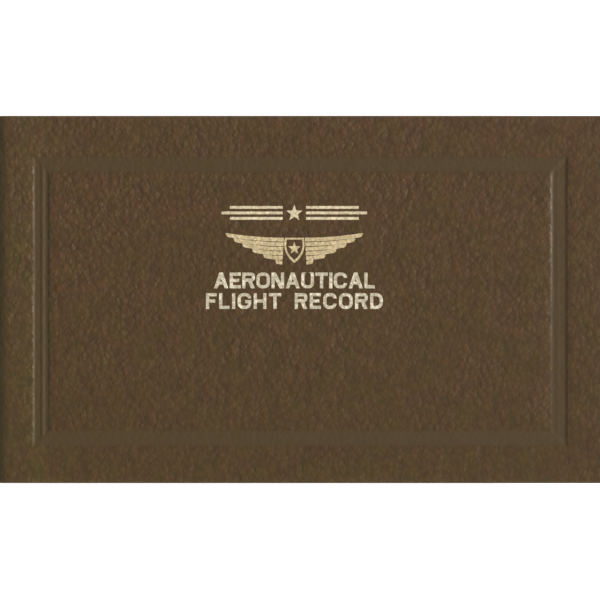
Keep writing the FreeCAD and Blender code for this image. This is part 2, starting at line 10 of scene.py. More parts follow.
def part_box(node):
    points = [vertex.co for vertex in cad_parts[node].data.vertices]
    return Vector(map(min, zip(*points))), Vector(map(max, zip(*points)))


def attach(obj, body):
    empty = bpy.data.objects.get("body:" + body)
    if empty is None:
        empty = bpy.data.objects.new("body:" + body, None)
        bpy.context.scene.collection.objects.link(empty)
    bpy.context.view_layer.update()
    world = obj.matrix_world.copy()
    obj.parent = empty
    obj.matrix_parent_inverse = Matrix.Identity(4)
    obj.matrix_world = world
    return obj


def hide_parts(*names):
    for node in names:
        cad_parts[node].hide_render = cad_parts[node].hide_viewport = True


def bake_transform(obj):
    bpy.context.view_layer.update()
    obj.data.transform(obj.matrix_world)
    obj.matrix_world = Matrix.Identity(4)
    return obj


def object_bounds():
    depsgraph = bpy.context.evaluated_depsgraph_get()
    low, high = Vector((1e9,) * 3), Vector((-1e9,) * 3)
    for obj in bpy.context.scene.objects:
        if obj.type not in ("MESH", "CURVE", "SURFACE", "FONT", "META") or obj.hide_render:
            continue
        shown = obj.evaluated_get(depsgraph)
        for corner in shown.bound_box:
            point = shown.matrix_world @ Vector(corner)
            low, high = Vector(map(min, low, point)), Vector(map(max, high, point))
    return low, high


# A leather-covered pilot's record book.  Everything is in metres, in the frame of the packed
# model: +X from the spine to the fore-edge, +Y to the head, +Z up through the front cover.

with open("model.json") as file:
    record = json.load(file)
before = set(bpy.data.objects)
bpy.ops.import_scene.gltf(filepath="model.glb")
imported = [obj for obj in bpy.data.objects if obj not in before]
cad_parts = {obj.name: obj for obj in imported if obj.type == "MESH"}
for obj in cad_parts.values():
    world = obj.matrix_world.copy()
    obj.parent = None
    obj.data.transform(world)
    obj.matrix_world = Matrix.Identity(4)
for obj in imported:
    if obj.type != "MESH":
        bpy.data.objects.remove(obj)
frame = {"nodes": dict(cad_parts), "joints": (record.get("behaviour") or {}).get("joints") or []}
CAD_LOW, CAD_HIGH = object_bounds()
MM = 0.001

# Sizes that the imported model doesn't state as a box of their own.
SKIN = 0.7 * MM
TURN_IN = 15 * MM
EDGE_ROUND = 1.3 * MM
CORNER_ROUND = 1.6 * MM
SPINE_CORNER_ROUND = 0.7 * MM
BEVEL_WIDTH = 5.0 * MM
BEVEL_DEPTH = 1.1 * MM
FRAME_INSET = Vector((17.25, 18.5)) * MM
FRAME_DROP = 0.9 * MM
FRAME_BAND = 6.95 * MM
LEAVES_PER_SECTION = 8

# How the covers' leather falls over the boards' bevel: straight beside the joint, then with
# two curves, each given as the distance from the joint where it starts and how sharp it is.
JOINT_EDGE_ROUND = 0.8 * MM
SHOULDER_STRAIGHT = 2.5 * MM
SHOULDER_SLOPE = 0.35
SHOULDER_CURVES = ((6.4 * MM, 0.030 / MM), (3.9 * MM, 0.0557 / MM))

# The section of the pressed frame: a shallow dip, a groove with sloping walls, and a ridge.
DIP_DEPTH = 0.20 * MM
GROOVE_DEPTH = 0.40 * MM
OUTER_WALL_HALF = 0.85 * MM
INNER_WALL_HALF = 0.95 * MM
RIDGE_HEIGHT = 0.20 * MM

# The ledger table printed on each page: its rows, and its columns' shares of the width.
LEDGER_ROWS = 20
LEDGER_COLUMNS = (22, 26, 24, 34) + 9 * (14,)


# ---------------------------------------------------------------- places from the frame

def span(node):
    """A CAD node's lowest corner and its size."""
    low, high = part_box(node)
    return low, high - low


FRONT_LOW, FRONT_SIZE = span("front_cover_leather")
BACK_LOW, BACK_SIZE = span("back_cover_leather")
COVER_TOP = FRONT_LOW.z + FRONT_SIZE.z
JOINT = {joint["name"]: Vector(joint["pos_m"]) for joint in frame["joints"]}
BLOCK_HINGE = JOINT["leaves_turn"]


# ---------------------------------------------------------------- small mesh tools

def mesh_object(name, points, faces, values=None, crease=35):
    """An object from points and faces, with named numbers for each point if given."""
    data = bpy.data.meshes.new(name)
    data.from_pydata([tuple(point) for point in points], [], faces)
    for label, numbers in (values or {}).items():
        attribute = data.attributes.new(label, "FLOAT", "POINT")
        attribute.data.foreach_set("value", numbers)
    shape = bmesh.new()
    shape.from_mesh(data)
    bmesh.ops.remove_doubles(shape, verts=shape.verts, dist=1e-7)
    bmesh.ops.recalc_face_normals(shape, faces=shape.faces)
    shape.to_mesh(data)
    shape.free()
    data.polygons.foreach_set("use_smooth", [True] * len(data.polygons))
    data.set_sharp_from_angle(angle=math.radians(crease))
    thing = bpy.data.objects.new(name, data)
    bpy.context.scene.collection.objects.link(thing)
    return thing


def loft(rings, capped=True):
    """Points and faces of a surface through rings of points, each ring a closed outline."""
    points = [point for ring in rings for point in ring]
    count = len(rings[0])
    faces = []
    for row in range(len(rings) - 1):
        for side in range(count):
            following = (side + 1) % count
            faces.append((row * count + side, row * count + following,
                          (row + 1) * count + following, (row + 1) * count + side))
    if capped:
        faces.append(tuple(range(count)))
        faces.append(tuple((len(rings) - 1) * count + side for side in range(count)))
    return points, faces


def add_part(points, faces, more_points, more_faces):
    """Add a separate part to a mesh under construction."""
    base = len(points)
    points += more_points
    faces += [tuple(base + place for place in face) for face in more_faces]


def smoothstep(low, high, value):
    """0 below low, 1 above high, and a smooth rise between."""
    share = min(max((value - low) / (high - low), 0.0), 1.0)
    return share * share * (3 - 2 * share)


def plateau(rise_start, rise_end, fall_start, fall_end, value):
    """1 between the rise's end and the fall's start, and smoothly down to 0 on both sides."""
    return smoothstep(rise_start, rise_end, value) * (1 - smoothstep(fall_start, fall_end, value))


def even_steps(low, high, widest):
    """Equal steps from low to high, none wider than asked; low itself is left out."""
    count = max(1, math.ceil((high - low) / widest - 1e-6))
    return [low + (high - low) * row / count for row in range(1, count + 1)]


def ticks(low, high, coarse, fine_zones):
    """Grid lines from low to high: close together in the fine zones, far apart elsewhere."""
    lines = [low]
    for start, end, step in fine_zones:
        lines += even_steps(lines[-1], start, coarse)
        lines += even_steps(start, end, step)
    return lines + even_steps(lines[-1], high, coarse)


def wavy(x, y, size, seed):
    """Smooth noise over the plane, from about -1 to 1."""
    return noise.noise(Vector((x / size, y / size, seed)))


# ---------------------------------------------------------------- the pressed frame

def pressed_edges(size):
    """The pressed frame's outer edges on the front cover: low u, low v, high u, high v."""
    return (FRAME_INSET.x, FRAME_INSET.y - FRAME_DROP,
            size.x - FRAME_INSET.x, size.y - FRAME_INSET.y - FRAME_DROP)


def pressed_profile(depth_in, ridge_share, sunk):
    """How far the pressed frame sinks at a distance inside its outer edge.

    The leather dips on both sides of a flat-bottomed groove, which has a low ridge in it.
    sunk is the share of the groove's depth that is left just inside the inner wall, where
    less than none is a slight swelling.  From there the leather slowly levels out.
    """
    band = FRAME_BAND
    dip = DIP_DEPTH * plateau(-3.8 * MM, 0.6 * MM, band - 0.6 * MM, band + 4.0 * MM, depth_in)
    outer_wall = smoothstep(-OUTER_WALL_HALF, OUTER_WALL_HALF, depth_in)
    inner_wall = smoothstep(band - INNER_WALL_HALF, band + INNER_WALL_HALF, depth_in)
    slow_rise = smoothstep(band + 1.0 * MM, band + 15.0 * MM, depth_in)
    groove = GROOVE_DEPTH * outer_wall * (1 - (1 - sunk) * inner_wall - sunk * slow_rise)
    ridge = RIDGE_HEIGHT * plateau(2.8 * MM, 3.9 * MM, 4.2 * MM, 5.3 * MM, depth_in)
    return dip + groove - ridge * ridge_share


def frame_relief(u, v, size, seed):
    """How far the pressed frame sinks at a place, and how firmly the leather is pressed flat there,
    which also sets the painted shade in the groove.

    The frame is pressed more firmly along the joint and the fore-edge than at head and tail.
    Its ridge fades from the joint to the fore-edge.  Its inner wall fades to the tail, most
    of all at the fore-edge.
    """
    low_u, low_v, high_u, high_v = pressed_edges(size)
    from_ends = min(u - low_u, high_u - u)
    from_sides = min(v - low_v, high_v - v)
    depth_in = min(from_ends, from_sides)
    firm = smoothstep(-2.0 * MM, 2.0 * MM, from_sides - from_ends)
    ridge_share = 1 - 0.8 * smoothstep(0.2 * size.x, 0.9 * size.x, u)
    ridge_share *= 0.35 + 0.65 * firm
    to_fore_edge = smoothstep(0.4 * size.x, 0.8 * size.x, u)
    to_tail = smoothstep(0.95 * size.y, 0.05 * size.y, v)
    sunk = (0.4 + 0.6 * to_fore_edge) * to_tail - 0.27
    uneven = (1 + 0.12 * wavy(u, v, 9 * MM, seed)) * (0.70 + 0.30 * firm)
    soft = 0.45 * MM
    ironed_and_shaded = plateau(-0.6 * MM, 0.4 * MM, FRAME_BAND - soft, FRAME_BAND + soft, depth_in)
    return pressed_profile(depth_in, ridge_share, sunk) * uneven, ironed_and_shaded


# ---------------------------------------------------------------- the leather shells

def plan_point(u, v, size, corner):
    """Move a rectangle's point into the round-cornered rectangle, and say how far in it is."""
    from_u = corner - min(u, size.x - u)
    from_v = corner - min(v, size.y - v)
    if from_u <= 0 or from_v <= 0:
        return u, v, min(u, size.x - u, v, size.y - v)
    reach = max(from_u, from_v)
    shrink = reach / math.hypot(from_u, from_v)
    moved = []
    for place, length, off in ((u, size.x, from_u), (v, size.y, from_v)):
        high_side = place > length / 2
        centre = length - corner if high_side else corner
        moved.append(centre + (off if high_side else -off) * shrink)
    return moved[0], moved[1], corner - reach


def shoulder_drop(from_joint):
    """How far the face falls towards the joint edge, gently at first and then steeply."""
    place = max(from_joint, SHOULDER_STRAIGHT)
    drop = SHOULDER_SLOPE * (SHOULDER_STRAIGHT - min(from_joint, SHOULDER_STRAIGHT))
    for start, curve in SHOULDER_CURVES:
        drop += curve * max(start - place, 0.0) ** 2
    return drop


def edge_drop(u, v, inset, size, rounding):
    """How far the outer face falls in its rounded edges."""
    radius, joint_radius, _ = rounding
    from_side = min(v, size.y - v)
    share = from_side / (u + from_side + 1e-9) if u < size.x / 2 else 0.0
    here = radius + (joint_radius - radius) * share
    if inset >= here:
        return 0.0
    return here - math.sqrt(max(here * here - (here - inset) ** 2, 0.0))


def face_lines(length, border, coarse, edges):
    """Grid lines across a leather face, fine at both rims and over a pressed band."""
    steps = 8
    rim = [border * (1 - math.cos(math.radians(90 * row / steps))) for row in range(steps)]
    fine = 0.3 * MM
    before = 3.9 * MM
    after = FRAME_BAND + 4.2 * MM
    zones = []
    if edges:
        low, high = edges
        zones = [(low - before, low + after, fine), (high - after, high + before, fine)]
    return rim + ticks(border, length - border, coarse, zones) + [
        length - step for step in reversed(rim)]


class Shell:
    """A mesh under construction: its points, its faces, and how worn and how pressed flat each point
    is, which also sets the painted shade.
    """

    def __init__(self):
        self.points = []
        self.faces = []
        self.worn = []
        self.ironed_and_shaded = []

    def point(self, u, v, w, worn=0.0, ironed_and_shaded=0.0):
        self.points.append((u, v, w))
        self.worn.append(worn)
        self.ironed_and_shaded.append(ironed_and_shaded)
        return len(self.points) - 1

    def rectangle(self, box, w):
        """Four points at the corners of a rectangle."""
        return [self.point(u, v, w) for u, v in ((box[0], box[1]), (box[2], box[1]),
                                                 (box[2], box[3]), (box[0], box[3]))]

    def join(self, first, second):
        """Faces between two rings of equally many points."""
        for place in range(len(first)):
            after = (place + 1) % len(first)
            self.faces.append((first[place], first[after], second[after], second[place]))


def add_outer_face(shell, size, rounding, bevelled, pressed, seed):
    """The outer face.  Gives the points round it, and where in them its corners are."""
    border = max(rounding)
    widest = 1.5 * MM
    unevenness = 0.035 * MM
    wear_reach = 1.1 * MM
    edges_u = edges_v = None
    if pressed:
        low_u, low_v, high_u, high_v = pressed_edges(size)
        edges_u = (low_u, high_u)
        edges_v = (low_v, high_v)
    lines_u = face_lines(size.x, border, min(widest, size.x / 10), edges_u)
    lines_v = face_lines(size.y, border, widest, edges_v)
    for v in lines_v:
        for u in lines_u:
            here_u, here_v, inset = plan_point(u, v, size, rounding[2])
            w = -edge_drop(here_u, here_v, inset, size, rounding)
            w += unevenness * smoothstep(0, 4 * MM, inset) * wavy(here_u, here_v, 16 * MM, seed)
            ironed_and_shaded = 0.0
            if pressed:
                depth, ironed_and_shaded = frame_relief(here_u, here_v, size, seed + 5)
                w -= depth
            if bevelled:
                w -= shoulder_drop(here_u)
                # The joint's shoulder counts as pressed too, which paints shade on it.
                ironed_and_shaded = max(ironed_and_shaded, 0.8 - 0.8 * smoothstep(2.5 * MM, 5.5 * MM, here_u))
            ragged = max(1 + 0.8 * wavy(here_u, here_v, 5 * MM, seed + 9), 0.3)
            shell.point(here_u, here_v, w, math.exp(-inset / (wear_reach * ragged)), ironed_and_shaded)
    across = len(lines_u)
    up = len(lines_v)
    shell.faces += [(row * across + left, row * across + left + 1,
                     (row + 1) * across + left + 1, (row + 1) * across + left)
                    for row in range(up - 1) for left in range(across - 1)]
    ring = (list(range(across)) + [row * across + across - 1 for row in range(1, up)]
            + [(up - 1) * across + left for left in range(across - 2, -1, -1)]
            + [row * across for row in range(up - 2, 0, -1)])
    return ring, [0, across - 1, across + up - 2, 2 * across + up - 3, len(ring)]


def add_edges(shell, ring, size):
    """The four sides, down to the edge of the inner face.  Gives the last ring of points."""
    small = min(0.35 * MM, size.z / 6)
    for inset, w, keep in ((0.0, -size.z + small, 1.0), (0.3 * small, -size.z + 0.3 * small, 0.7),
                           (small, -size.z, 0.4)):
        following = [shell.point(min(max(shell.points[place][0], inset), size.x - inset),
                                 min(max(shell.points[place][1], inset), size.y - inset),
                                 w, shell.worn[place] * keep) for place in ring]
        shell.join(ring, following)
        ring = following
    return ring


def add_inside(shell, ring, corners, size, bevel, cavity, opening):
    """The folded-over leather, and the board's space under it with its bevelled roof."""
    rim = shell.rectangle(opening, -size.z)
    for side in range(4):
        outer = [ring[place % len(ring)] for place in range(corners[side], corners[side + 1] + 1)]
        shell.faces.append(tuple(outer + [rim[(side + 1) % 4], rim[side]]))
    near, far = cavity[4:]
    for box in (opening, cavity):
        following = shell.rectangle(box, far)
        shell.join(rim, following)
        rim = following
    low_roof = [shell.point(cavity[0], cavity[side], near - bevel[1]) for side in (1, 3)]
    bend = [shell.point(cavity[0] + bevel[0], cavity[side], near) for side in (1, 3)]
    high_roof = [shell.point(cavity[2], cavity[side], near) for side in (1, 3)]
    shell.faces += [(rim[0], rim[1], high_roof[0], bend[0], low_roof[0]),
                    (rim[1], rim[2], high_roof[1], high_roof[0]),
                    (rim[2], rim[3], low_roof[1], bend[1], high_roof[1]),
                    (rim[3], rim[0], low_roof[0], low_roof[1]),
                    (low_roof[0], bend[0], bend[1], low_roof[1]),
                    (bend[0], high_roof[0], high_roof[1], bend[1])]


def hide_shell(name, size, rounding, bevel, cavity, opening, pressed, seed, to_frame):
    """Leather folded over a board, as one closed mesh.

    It is made with u and v across the outer face, which lies at w = 0, and w out of it.
    rounding is (edge radius, radius of the edge at u = 0, corner radius), and bevel is the
    board's (width, depth) at u = 0.  cavity is the board's space (low u, low v, high u,
    high v, nearest w, farthest w), and opening the space between the folded-over edges.
    to_frame turns (u, v, w) into a place in the frame.
    """
    shell = Shell()
    ring, corners = add_outer_face(shell, size, rounding, bevel[0] > 0, pressed, seed)
    ring = add_edges(shell, ring, size)
    add_inside(shell, ring, corners, size, bevel, cavity, opening)
    placed = [to_frame(*point) for point in shell.points]
    return mesh_object(name, placed, shell.faces, {"worn": shell.worn, "pressed": shell.ironed_and_shaded})


def cover_spaces():
    """The board's space and the opening inside a cover, in the front cover's own axes."""
    def across(node):
        low, size = span(node)
        return (low.x - FRONT_LOW.x, low.y - FRONT_LOW.y,
                low.x - FRONT_LOW.x + size.x, low.y - FRONT_LOW.y + size.y)
    board_low, board_size = span("front_board")
    near = board_low.z + board_size.z - COVER_TOP
    far = board_low.z - COVER_TOP
    wing = across("front_mull_wing")
    infill = across("front_infill")
    return (*across("front_board"), near, far), (wing[0], wing[1], infill[2], infill[3])


def leather(piece, body, node):
    """Leather finish, body and CAD node of one leather piece."""
    piece.data.materials.append(LEATHER)
    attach(piece, body)
    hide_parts(node)


def make_cover_hides():
    """The leather of both covers; only the front one has the pressed frame."""
    cavity, opening = cover_spaces()
    rounding = (EDGE_ROUND, JOINT_EDGE_ROUND, CORNER_ROUND)
    bevel = (BEVEL_WIDTH, BEVEL_DEPTH)

    def front_place(u, v, w):
        return (FRONT_LOW.x + u, FRONT_LOW.y + v, COVER_TOP + w)

    def back_place(u, v, w):
        return (BACK_LOW.x + u, BACK_LOW.y + v, BACK_LOW.z - w)

    front = hide_shell("front_cover_hide", FRONT_SIZE, rounding, bevel, cavity, opening, True,
                       3.0, front_place)
    back = hide_shell("back_cover_hide", BACK_SIZE, rounding, bevel, cavity, opening, False,
                      41.0, back_place)
    leather(front, "front_cover", "front_cover_leather")
    leather(back, "back_cover", "back_cover_leather")


def make_spine_hide():
    """The leather round the spine's stiffener, softly rounded, with closed head and tail."""
    low, size = span("spine_leather")
    strip_low, strip_size = span("spine_strip")
    own = Vector((size.z, size.y, size.x))
    cavity = (strip_low.z - low.z, strip_low.y - low.y,
              strip_low.z - low.z + strip_size.z, strip_low.y - low.y + strip_size.y,
              low.x - strip_low.x, low.x - strip_low.x - strip_size.x)
    opening = (cavity[0], TURN_IN, cavity[2], own.y - TURN_IN)
    swell = 0.45 * MM

    def place(u, v, w):
        return (low.x - w + swell * (2 * u / own.x - 1) ** 2, low.y + v, low.z + u)

    piece = hide_shell("spine_hide", own, (EDGE_ROUND, EDGE_ROUND, SPINE_CORNER_ROUND), (0, 0),
                       cavity, opening, False, 77.0, place)
    leather(piece, "spine", "spine_leather")


def joint_line():
    """The middle line of a joint's leather: distance from the spine's inner face, and depth."""
    low, size = span("back_joint_leather")
    bend = 1.0 * MM
    steps = 8
    start = low.z + SKIN / 2
    line = [(-0.4 * MM, start)]
    for row in range(steps + 1):
        angle = math.radians(90 * row / steps)
        line.append((bend * math.sin(angle), start + bend * (1 - math.cos(angle))))
    for row in range(1, steps + 1):
        angle = math.radians(90 * row / steps)
        line.append((bend * (2 - math.cos(angle)), start + bend * (1 + math.sin(angle))))
    for x in even_steps(2 * bend, size.x - 0.9 * MM, 0.6 * MM):
        line.append((x, start + 2 * bend + 0.12 * MM * math.sin(math.pi * x / size.x)))
    line.append((size.x + 0.25 * MM, start + 2 * bend - 0.25 * MM))
    return line


def thickened(line, half):
    """The closed outline of a strip with this middle line and half thickness."""
    outline = []
    for side in (-1, 1):
        edge = []
        for row, (x, z) in enumerate(line):
            before = line[max(row - 1, 0)]
            after = line[min(row + 1, len(line) - 1)]
            slope = Vector((after[0] - before[0], after[1] - before[1])).normalized()
            edge.append((x - side * half * slope.y, z + side * half * slope.x))
        outline += edge if side < 0 else edge[::-1]
    return outline


def make_joint_hides():
    """The leather of the two grooves, in the joints where the covers turn."""
    low, size = span("back_joint_leather")
    outline = thickened(joint_line(), 0.42 * SKIN)
    rows = 12
    for name, node, body, hinge in (
            ("back_joint_hide", "back_joint_leather", "back_cover", "spine_swing"),
            ("front_joint_hide", "front_joint_leather", "front_cover", "front_cover_swing")):
        front = body == "front_cover"
        rings = []
        for row in range(rows + 1):
            y = low.y + size.y * row / rows
            rings.append([(low.x + x, y, COVER_TOP - z if front else z) for x, z in outline])
        points, faces = loft(rings)
        values = {"worn": [0.25] * len(points), "pressed": [0.0] * len(points)}
        piece = mesh_object(name, points, faces, values)
        piece.data.materials.append(LEATHER)
        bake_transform(piece)
        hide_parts(node)


# ---------------------------------------------------------------- the block of leaves

def folded_sheet(corner, size, half_outer, half_inner):
    """Points and faces of one folded sheet: two leaves joined by a round fold."""
    centre_x = corner.x + size.z / 2
    centre_z = corner.z + size.z / 2
    steps = 8
    sides = []
    for reach in (half_outer, half_inner):
        line = [(corner.x + size.x, centre_z - reach)]
        for row in range(steps + 1):
            angle = math.radians(270 - 180 * row / steps)
            line.append((centre_x + reach * math.cos(angle), centre_z + reach * math.sin(angle)))
        line.append((corner.x + size.x, centre_z + reach))
        sides.append(line)
    outline = sides[0] + sides[1][::-1]
    rings = [[(x, y, z) for x, z in outline] for y in (corner.y, corner.y + size.y)]
    points, faces = loft(rings, capped=False)
    count = len(outline)
    for ring in (0, count):
        for row in range(len(sides[0]) - 1):
            faces.append((ring + row, ring + row + 1, ring + count - 2 - row, ring + count - 1 - row))
    return points, faces


def make_sections():
    """Twelve sewn sections, each of nested folded sheets, trimmed a little unevenly."""
    draw = random.Random(11)
    in_front_half = 6
    for node in sorted(name for name in frame["nodes"] if name.startswith("signature_")):
        low, size = span(node)
        pitch = size.z / LEAVES_PER_SECTION
        paper = 0.84 * pitch
        points = []
        faces = []
        lean = draw.uniform(-0.12, 0.04) * MM
        for sheet in range(LEAVES_PER_SECTION // 2):
            outer = size.z / 2 - sheet * pitch
            trim = draw.uniform(-0.05, 0.0) * MM
            shift = draw.uniform(-0.04, 0.04) * MM
            corner = Vector((low.x, low.y + shift, low.z))
            trimmed = Vector((size.x + lean + trim, size.y, size.z))
            add_part(points, faces, *folded_sheet(corner, trimmed, outer, outer - paper))
        piece = mesh_object(node.replace("signature", "section"), points, faces, crease=50)
        piece.data.materials.append(PAGE_PAPER)
        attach(piece, "front_leaves" if int(node[-2:]) <= in_front_half else "back_cover")
        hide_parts(node)


def over_folds(piece, node):
    """Bake a piece that crosses the block's hinge into the frame's axes, and hide the CAD node that
    it replaces.
    """
    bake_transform(piece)
    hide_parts(node)


def hinge_sheet(name, node, material):
    """A lining glued over the folds: a thin sheet with enough rows to bend at the hinge."""
    low, size = span(node)
    bend = 1.2 * MM
    zones = [(BLOCK_HINGE.z - bend, BLOCK_HINGE.z + bend, 0.1 * MM)]
    rings = []
    for z in ticks(low.z, low.z + size.z, 1.5 * MM, zones):
        rings.append([(low.x, low.y, z), (low.x + size.x, low.y, z),
                      (low.x + size.x, low.y + size.y, z), (low.x, low.y + size.y, z)])
    piece = mesh_object(name, *loft(rings))
    piece.data.materials.append(material)
    over_folds(piece, node)


def end_band(name, node):
    """The woven band at one end of the block: a core with thread wound over it."""
    low, size = span(node)
    radius = 0.8 * MM
    centre_x = BLOCK_HINGE.x + 0.4 * MM + radius
    centre_y = low.y + radius if low.y > 0 else low.y + size.y - radius
    wraps = 30
    per_wrap = 8
    sides = 14
    rings = []
    stripe = []
    for row in range(wraps * per_wrap + 1):
        turn = row / per_wrap
        bulge = radius * (0.84 + 0.16 * abs(math.sin(math.pi * turn)))
        z = low.z + size.z * row / (wraps * per_wrap)
        ring = []
        for side in range(sides):
            angle = 2 * math.pi * side / sides
            lean = 0.12 * MM * math.cos(angle)
            ring.append((centre_x + bulge * math.cos(angle), centre_y + bulge * math.sin(angle),
                         min(max(z + lean, low.z), low.z + size.z)))
            stripe.append(float(int(turn) // 2 % 2))
        rings.append(ring)
    points, faces = loft(rings)
    piece = mesh_object(name, points, faces, {"stripe": stripe})
    piece.data.materials.append(END_BAND)
    over_folds(piece, node)


def strand(x, y, low_z, height, phase):
    """One strand of a stitch, twisted round the stitch's middle line."""
    radius = 0.13 * MM
    offset = 0.11 * MM
    twist = 1.3 * MM
    rings = []
    for z in [low_z] + even_steps(low_z, low_z + height, 0.16 * MM):
        turn = phase + 2 * math.pi * (z - low_z) / twist
        middle_x = x + offset * math.cos(turn)
        middle_y = y + offset * math.sin(turn)
        rings.append([(middle_x + radius * math.cos(math.radians(45 * side)),
                       middle_y + radius * math.sin(math.radians(45 * side)), z)
                      for side in range(8)])
    return loft(rings)


def make_stitches():
    """The sewing thread over the folds, as pairs of twisted strands at each station."""
    stations = 7
    for name, node, body in (("front_stitches", "front_sewing_thread", "front_leaves"),
                             ("rear_stitches", "rear_sewing_thread", "back_cover")):
        low, size = span(node)
        x = low.x + size.x / 2
        points = []
        faces = []
        for station in range(stations):
            y = low.y + size.x / 2 + (size.y - size.x) * station / (stations - 1)
            for phase in (0.0, math.pi):
                add_part(points, faces, *strand(x, y, low.z, size.z, phase))
        piece = mesh_object(name, points, faces, crease=60)
        piece.data.materials.append(THREAD)
        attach(piece, body)
        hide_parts(node)


# ---------------------------------------------------------------- materials

class Graph:
    """A material's nodes, with short calls that add one and join it to the others."""

    def __init__(self, name):
        self.material = bpy.data.materials.new(name)
        self.material.use_nodes = True
        self.tree = self.material.node_tree
        self.tree.nodes.clear()
        self.shader = self.add("ShaderNodeBsdfPrincipled")
        output = self.add("ShaderNodeOutputMaterial")
        self.feed(output.inputs["Surface"], self.shader.outputs["BSDF"])
        coordinates = self.add("ShaderNodeTexCoord")
        self.place = coordinates.outputs["Object"]
        self.facing = coordinates.outputs["Normal"]

    def feed(self, socket, value):
        """Give an input a value, or a link if the value is another node's output."""
        if isinstance(value, bpy.types.NodeSocket):
            self.tree.links.new(value, socket)
        else:
            socket.default_value = value

    def add(self, kind, inputs=None, **settings):
        node = self.tree.nodes.new(kind)
        for name, value in settings.items():
            setattr(node, name, value)
        for name, value in (inputs or {}).items():
            self.feed(node.inputs[name], value)
        return node

    def maths(self, operation, *values):
        node = self.add("ShaderNodeMath", operation=operation)
        for row, value in enumerate(values):
            self.feed(node.inputs[row], value)
        return node.outputs[0]

    def product(self, first, *others):
        for value in others:
            first = self.maths("MULTIPLY", first, value)
        return first

    def between(self, value, low, high, to_low=0.0, to_high=1.0):
        """The value's place between low and high, stretched over to_low to to_high."""
        inputs = {"Value": value, "From Min": low, "From Max": high, "To Min": to_low,
                  "To Max": to_high}
        return self.add("ShaderNodeMapRange", inputs).outputs[0]

    def inside(self, value, low, high):
        """1 where the value lies between low and high, and 0 elsewhere."""
        return self.product(self.maths("GREATER_THAN", value, low),
                            self.maths("LESS_THAN", value, high))

    def line_at(self, value, place, half_width):
        """1 where the value is close to a place, and 0 elsewhere."""
        off = self.maths("ABSOLUTE", self.maths("SUBTRACT", value, place))
        return self.maths("LESS_THAN", off, half_width)

    def mix(self, share, first, second, blend="MIX"):
        node = self.add("ShaderNodeMix", data_type="RGBA", blend_type=blend)
        for row, value in ((0, share), (6, first), (7, second)):
            self.feed(node.inputs[row], value)
        return node.outputs[2]

    def noise(self, size, detail=2.0, roughness=0.5, place=None):
        inputs = {"Vector": place or self.place, "Scale": 1 / size, "Detail": detail,
                  "Roughness": roughness}
        return self.add("ShaderNodeTexNoise", inputs).outputs["Fac"]

    def cells(self, size, feature="F1", place=None, **inputs):
        inputs = {"Vector": place or self.place, "Scale": 1 / size, **inputs}
        return self.add("ShaderNodeTexVoronoi", inputs, feature=feature).outputs["Distance"]

    def vectors(self, operation, first, second):
        """A sum or product of vectors; SCALE takes a plain number as its second."""
        node = self.add("ShaderNodeVectorMath", operation=operation)
        self.feed(node.inputs[0], first)
        self.feed(node.inputs["Scale" if operation == "SCALE" else 1], second)
        return node.outputs[0]

    def warped(self, size, reach):
        """The object's coordinates, pushed about by noise so that repeats look irregular."""
        swirl = self.add("ShaderNodeTexNoise", {"Vector": self.place, "Scale": 1 / size})
        push = self.vectors("SUBTRACT", swirl.outputs["Color"], (0.5, 0.5, 0.5))
        return self.vectors("ADD", self.place, self.vectors("SCALE", push, reach))

    def stretched(self, shares):
        """The object's coordinates, scaled along each axis."""
        return self.vectors("MULTIPLY", self.place, shares)

    def attribute(self, name):
        return self.add("ShaderNodeAttribute", attribute_name=name).outputs["Fac"]

    def parts(self, vector):
        return self.add("ShaderNodeSeparateXYZ", {"Vector": vector}).outputs

    def bump(self, height, distance, strength=1.0, normal=None):
        inputs = {"Height": height, "Distance": distance, "Strength": strength}
        if normal is not None:
            inputs["Normal"] = normal
        return self.add("ShaderNodeBump", inputs).outputs["Normal"]

    def finish(self, **inputs):
        for name, value in inputs.items():
            self.feed(self.shader.inputs[name.replace("_", " ")], value)
        return self.material


def rgb(red, green, blue):
    """A colour from its linear values."""
    return (red, green, blue, 1.0)


def grain_height(graph):
    """Pebbled leather grain: rounded cells of two sizes, on a gently uneven hide."""
    place = graph.warped(3.0 * MM, 1.8 * MM)
    large = graph.cells(2.9 * MM, "SMOOTH_F1", place, Smoothness=0.25)
    small = graph.cells(1.6 * MM, "SMOOTH_F1", place, Smoothness=0.25)
    pores = graph.noise(0.5 * MM, 3.0)
    swells = graph.noise(5.5 * MM, 2.0)
    height = graph.maths("SUBTRACT", 1.0, large)
    for part, share in ((graph.maths("SUBTRACT", 1.0, small), 0.5), (pores, 0.2), (swells, 0.9)):
        height = graph.maths("ADD", height, graph.product(part, share))
    return height


def grain_crispness(graph):
    """The grain is crisp near the spine and the head, and flatter where hands hold the book."""
    x, y, _ = graph.parts(graph.place)
    along = graph.between(x, -20 * MM, 110 * MM, 1.08, 0.76)
    up = graph.between(y, -65 * MM, 15 * MM, 0.68, 1.0)
    patches = graph.between(graph.noise(13 * MM, 3.0, 0.6), 0.38, 0.62, 0.7, 1.1)
    return graph.product(along, up, patches)


def hide_colour_and_shade(graph):
    """Two browns in patches, with painted shade that makes them darker and yellower to the tail, and
    paler beside the joint.
    """
    x, y, _ = graph.parts(graph.place)
    patch = graph.between(graph.noise(12 * MM, 1.5), 0.38, 0.62)
    even = graph.mix(patch, rgb(0.0733, 0.0388, 0.0071), rgb(0.0803, 0.0360, 0.0095))
    # Painted shade: the colour darkens and turns yellower towards the tail, standing in for light
    # that falls off there.
    to_tail = graph.between(y, 80 * MM, -80 * MM)
    shaded_hue = graph.mix(to_tail, even, rgb(0.88, 0.93, 0.62), "MULTIPLY")
    beside_joint = graph.between(x, FRONT_LOW.x + 26 * MM, FRONT_LOW.x + 23 * MM)
    return graph.mix(beside_joint, shaded_hue, rgb(1.04, 1.18, 1.20), "MULTIPLY")


